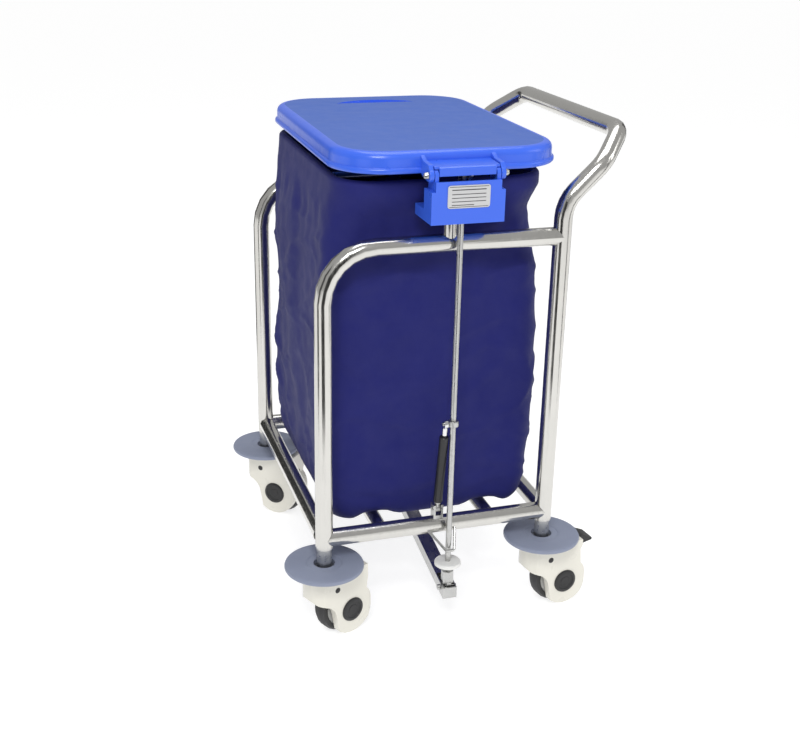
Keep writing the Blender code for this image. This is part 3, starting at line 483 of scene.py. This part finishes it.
def bag_level(z):
    """The bag's plan at a height, straight between the levels above."""
    for upper, lower in zip(BAG_LEVELS, BAG_LEVELS[1:]):
        if z >= lower[4]:
            t = (upper[4] - z) / (upper[4] - lower[4])
            return placed([a + (b - a) * t for a, b in zip(upper, lower)])
    return placed(BAG_LEVELS[-1])


def smoothed_level(z):
    """The same plan with the corners between levels eased."""
    reach = min(0.016, 0.8 * max(0.0, z - BAG_FLOOR), 0.8 * max(0.0, BAG_TOP - z))
    samples = [bag_level(z + reach * step) for step in (-1.0, -0.5, 0.0, 0.5, 1.0)]
    return [sum(values) / 5 for values in zip(*samples)]


def sag(x, y):
    """How far the bag's bottom hangs between the cross bars."""
    clear = min(abs(x - bar) for bar in CROSS_BARS)
    free = min(1.0, max(0.0, (clear - 0.014) / 0.030))
    return 0.0095 * free * free * (3 - 2 * free)


def wander(run_scale, z_scale, seed, run, z):
    """Fixed noise over the cloth."""
    return noise.noise(Vector((run * run_scale, z * z_scale, seed)))


def ridge(value, sharpness):
    """A narrow ridge where a noise value crosses zero."""
    return (1 - abs(value)) ** sharpness


def fold(point, z, run):
    """Outward shift of the cloth: hanging folds, creases, pleats under the hoop, and the seam."""
    hung = min(1.0, max(0.0, (0.742 - z) / 0.05))
    free = min(1.0, max(0.0, (z - BAG_FLOOR) / 0.03))
    x = point.x - LID_X
    y = point.y
    broad = math.sin(2 * math.pi * run / 0.235 + 2.6 * wander(3, 3.2, 4.1, run, z))
    small = math.sin(2 * math.pi * run / 0.094 + 4.0 * wander(4, 4.5, 9.7, run, z))
    dent = noise.noise(Vector((x * 7.5, y * 7.5, z * 5.5 + 3.3)))
    crease = ridge(noise.noise(Vector((run * 7 + z * 5, z * 7 - run * 3, 0.4))), 9)
    cross = ridge(noise.noise(Vector((run * 6 - z * 7, z * 9 + run * 2, 5.6))), 12)
    fine = ridge(noise.noise(Vector((run * 17 + z * 9, z * 14, 1.7))), 10)
    pleat = math.sin(2 * math.pi * run / 0.041 + 3.0 * wander(8, 6, 2.2, run, z))
    ripple = math.sin(z * 120 + 6 * wander(5, 0, 6, run, z))
    shift = 0.0024 * broad + 0.0014 * small + 0.0062 * dent
    shift += 0.0044 * crease + 0.0036 * cross + 0.0018 * fine
    shift += 0.0024 * pleat * math.exp(-abs(z - 0.715) / 0.030)
    shift += 0.0022 * ripple * math.exp(-abs(z - 0.235) / 0.022)
    if y < 0:
        off_seam = x - SEAM_X
        shift += 0.0010 * math.exp(-(off_seam / 0.0022) ** 2)
        shift -= 0.0016 * math.exp(-((abs(off_seam) - 0.006) / 0.004) ** 2)
    return min(0.0050, max(-0.0110, shift - 0.0024)) * hung * free


def measured(outline):
    """Each outline point with its outward direction and its distance round the outline."""
    run = 0.0
    previous = outline[-1][0]
    for point, out in outline:
        run += (point - previous).length
        previous = point
        yield point, out, run


def floor_rings():
    """The bottom, from near its centre out to its edge."""
    x0, x1, near, far, z, radius = placed(BAG_LEVELS[-1])
    mid = (x0 + x1) / 2
    half = (x1 - x0) / 2
    for i in range(1, FLOOR_RINGS + 1):
        share = i / (FLOOR_RINGS + 1)
        outline = ring_outline(mid - half * share, mid + half * share, near * share, far * share,
                               radius * share)
        yield [(p.x, p.y, z - sag(p.x, p.y)) for p, _ in outline]


def wall_rings():
    """The wall, from the bottom's edge up to the hoop, with its folds."""
    for i in range(WALL_RINGS + 1):
        z = BAG_FLOOR + (BAG_TOP - BAG_FLOOR) * i / WALL_RINGS
        x0, x1, near, far, _, radius = smoothed_level(z)
        drop = min(1.0, max(0.0, (0.246 - z) / 0.042)) ** 2
        ring = []
        for p, out, run in measured(ring_outline(x0, x1, near, far, radius)):
            moved = p + out * fold(p, z, run)
            ring.append((moved.x, moved.y, z - sag(p.x, p.y) * drop))
        yield ring


def top_outline(inward):
    """The plan of the cloth at the hoop, moved inwards."""
    x0, x1, near, far, _, radius = placed(BAG_LEVELS[0])
    return ring_outline(x0 + inward, x1 - inward, near + inward, far - inward, radius - inward)


def hem_rings():
    """The turn over the hoop, and the hem that hangs inside it."""
    for angle in range(12, 181, 14):
        inward = HOOP_REACH * (1 - math.cos(math.radians(angle)))
        lift = HOOP_REACH * math.sin(math.radians(angle))
        yield [(p.x, p.y, BAG_TOP + lift) for p, _ in top_outline(inward)]
    for i in range(1, HEM_RINGS + 1):
        ring = []
        for p, out, run in measured(top_outline(2 * HOOP_REACH)):
            wave = 0.0018 * math.sin(2 * math.pi * run / 0.13 + 3 * wander(6, 0, 8.8, run, 0))
            moved = p + out * (wave - 0.0012) * i / HEM_RINGS
            ring.append((moved.x, moved.y, BAG_TOP - HEM_DEPTH * i / HEM_RINGS))
        yield ring


def lay_out_cloth(work, rings):
    """UVs in metres: round the bag, and along the cloth from the bottom's centre."""
    uv = work.loops.layers.uv.new("cloth")
    count = len(rings[0])
    lengths = [0.0]
    for lower, upper in zip(rings, rings[1:]):
        lengths.append(lengths[-1] + (Vector(upper[0]) - Vector(lower[0])).length)
    work.verts.index_update()
    around = CLOTH_ROUND / count
    for face in work.faces:
        columns = [loop.vert.index % count for loop in face.loops]
        wraps = max(columns) - min(columns) > count / 2
        for loop, column in zip(face.loops, columns):
            turn = column + count if wraps and column < count / 2 else column
            loop[uv].uv = (turn * around, lengths[loop.vert.index // count])


def bag():
    """The hanging bag, as one sheet from its bottom centre to the hem."""
    rings = [*floor_rings(), *wall_rings(), *hem_rings()]
    work = loft(rings, True, False)
    bmesh.ops.recalc_face_normals(work, faces=work.faces)
    lay_out_cloth(work, rings)
    cloth = piece("bag_cloth", work, "navy_fabric", "frame")
    thick = cloth.modifiers.new("thickness", "SOLIDIFY")
    thick.thickness = CLOTH_THICKNESS
    thick.offset = 0.0
    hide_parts("bag")


# ---------------------------------------------------------------- casters
# (radius, height) pairs: along the axle from the middle, out from the hood, and up from the floor.
CAP_FACE = 0.0323
CAP_HALF = [(0.0, CAP_FACE + 0.0022), (0.0085, CAP_FACE + 0.0022), (0.0095, CAP_FACE + 0.0014),
            (0.0150, CAP_FACE + 0.0016), (0.0160, CAP_FACE + 0.0028), (0.0195, CAP_FACE + 0.0026),
            (0.0212, CAP_FACE + 0.0016), (0.0218, CAP_FACE), (0.0038, CAP_FACE)]
STUD = [(0.0, 0.0030), (0.0020, 0.0030), (0.0024, 0.0024), (0.0048, 0.0024), (0.0056, 0.0016),
        (0.0058, -0.002), (0.0, -0.002)]
BUFFER = [(0.0182, 0.1325), (0.0640, 0.1325), (0.0662, 0.1330), (0.0670, 0.1345), (0.0670, 0.1368),
          (0.0660, 0.1388), (0.0630, 0.1402), (0.0560, 0.1406), (0.0330, 0.1410), (0.0300, 0.1408),
          (0.0290, 0.1400), (0.0182, 0.1400), (0.0182, 0.1325)]


def turned_piece(name, profile, matrix, sides, finish, body):
    """One smooth-shaded turned piece."""
    made = piece(name, turned(profile, matrix, sides), finish, body)
    add_shading(made)
    return made


def caster_details(corner, heading):
    """Axle caps, cheek bolts and a rounded buffer for one caster."""
    fork = corner + "_fork"
    stem_low, stem_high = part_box(corner + "_caster_stem")
    centre = (stem_low + stem_high) / 2
    plain = Matrix.Translation((centre.x, centre.y, 0))
    own = plain @ Matrix.Rotation(math.radians(heading), 4, "Z")
    across = own @ Matrix.Translation((0.036, 0, 0.050)) @ Matrix.Rotation(math.pi / 2, 4, "X")
    profile = CAP_HALF + [(radius, -height) for radius, height in reversed(CAP_HALF)]
    caps = turned_piece(corner + "_axle_caps", profile, across, 48, "black_plastic", fork)
    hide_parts(corner + "_axle")
    for side, word in ((-1, "near"), (1, "far")):
        spot = own @ Matrix.Translation((0.004, side * 0.0300, 0.099))
        spot = spot @ Matrix.Rotation(-side * math.pi / 2, 4, "X")
        turned_piece(f"{corner}_cheek_bolt_{word}", STUD, spot, 24, "black_plastic", fork)
    buffer = turned_piece(corner + "_buffer", BUFFER, plain, 72, "bumper_rubber", "frame")
    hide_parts(corner + "_bumper")


# ---------------------------------------------------------------- studio
FLOOR_HALF = 14.0
CARD_MIDDLE = 0.70
CARD_HALF = 0.699
CARDS = (
    # name, place in X and Y, turn in degrees, width
    ("card_left", -1.25, -0.55, 66, 0.55),
    ("card_right", 1.20, -0.85, -55, 0.50),
    ("card_far", 1.15, 0.55, 65, 0.60),
    ("card_back", -0.75, 1.05, 35, 0.55),
    ("card_front", -0.42, -1.08, -14, 0.62),
)
LIGHTS = (
    # name, place, size, power
    ("key", (-1.0, -2.3, 2.6), 1.0, 40.0),
    ("fill", (2.3, -1.2, 1.7), 1.2, 11.0),
    ("top", (0.1, 0.3, 2.9), 1.6, 24.0),
    ("glint", (-0.5, -2.4, 2.9), 0.25, 10.0),
)


def stage_panel(name, points, finish):
    """A four-cornered panel of the studio."""
    mesh = bpy.data.meshes.new(name)
    mesh.from_pydata(points, [], [(0, 1, 2, 3)])
    mesh.materials.append(finish)
    panel = bpy.data.objects.new(name, mesh)
    bpy.context.scene.collection.objects.link(panel)
    return panel


def studio():
    """A plain pale floor, dark cards for the steel to reflect, an even sky and four soft lights."""
    scene = bpy.context.scene
    scene.view_settings.view_transform = "Standard"
    glow = {"Emission Color": (1, 1, 1, 1), "Emission Strength": 0.76}
    stage_panel("studio_floor", [(-FLOOR_HALF, -FLOOR_HALF, 0), (FLOOR_HALF, -FLOOR_HALF, 0),
                                 (FLOOR_HALF, FLOOR_HALF, 0), (-FLOOR_HALF, FLOOR_HALF, 0)],
                principled("studio_floor", (0.45, 0.45, 0.45), 0.9, 0.0, glow))
    card_finish = principled("studio_card", (0.02, 0.02, 0.02), 0.9)
    for name, x, y, turn, width in CARDS:
        half = width / 2
        card = stage_panel(name, [(-half, 0, -CARD_HALF), (half, 0, -CARD_HALF),
                                  (half, 0, CARD_HALF), (-half, 0, CARD_HALF)], card_finish)
        card.matrix_world = (Matrix.Translation((x, y, CARD_MIDDLE))
                             @ Matrix.Rotation(math.radians(turn), 4, "Z"))
        card.visible_camera = False
        card.visible_shadow = False
        card.visible_diffuse = False
    world = bpy.data.worlds.new("studio")
    world.use_nodes = True
    scene.world = world
    sky = world.node_tree.nodes["Background"]
    sky.inputs["Color"].default_value = (1, 1, 1, 1)
    sky.inputs["Strength"].default_value = 0.46
    aim = Vector((0, 0, 0.45))
    for name, place, size, power in LIGHTS:
        data = bpy.data.lights.new(name, "AREA")
        data.size = size
        data.energy = power
        lamp = bpy.data.objects.new(name, data)
        lamp.location = place
        lamp.rotation_euler = (aim - Vector(place)).to_track_quat("-Z", "Y").to_euler()
        scene.collection.objects.link(lamp)


def camera():
    """The view of the cart from the near left, slightly above it."""
    yaw, pitch, roll = 0.30825, 0.37524, 0.02110      # radians, from +Y, downwards, about the view
    level = math.cos(pitch)
    forward = Vector((math.sin(yaw) * level, math.cos(yaw) * level, -math.sin(pitch)))
    right = Vector((math.cos(yaw), -math.sin(yaw), 0))
    up = right.cross(forward)
    tilted_right = math.cos(roll) * right + math.sin(roll) * up
    tilted_up = -math.sin(roll) * right + math.cos(roll) * up
    data = bpy.data.cameras.new("camera")
    data.sensor_width = 36
    data.lens = 54.38
    eye = bpy.data.objects.new("camera", data)
    turn = Matrix((tilted_right, tilted_up, -forward)).transposed().to_4x4()
    eye.matrix_world = Matrix.Translation((LID_X - 0.63419, -1.97317, 1.18519)) @ turn
    bpy.context.scene.collection.objects.link(eye)
    bpy.context.scene.camera = eye


camera()
studio()
finish_frame()
lid_shell()
lid_hinge_flap()
label_rules()
bag()
for corner, heading in CASTER_HEADINGS.items():
    caster_details(corner, heading)
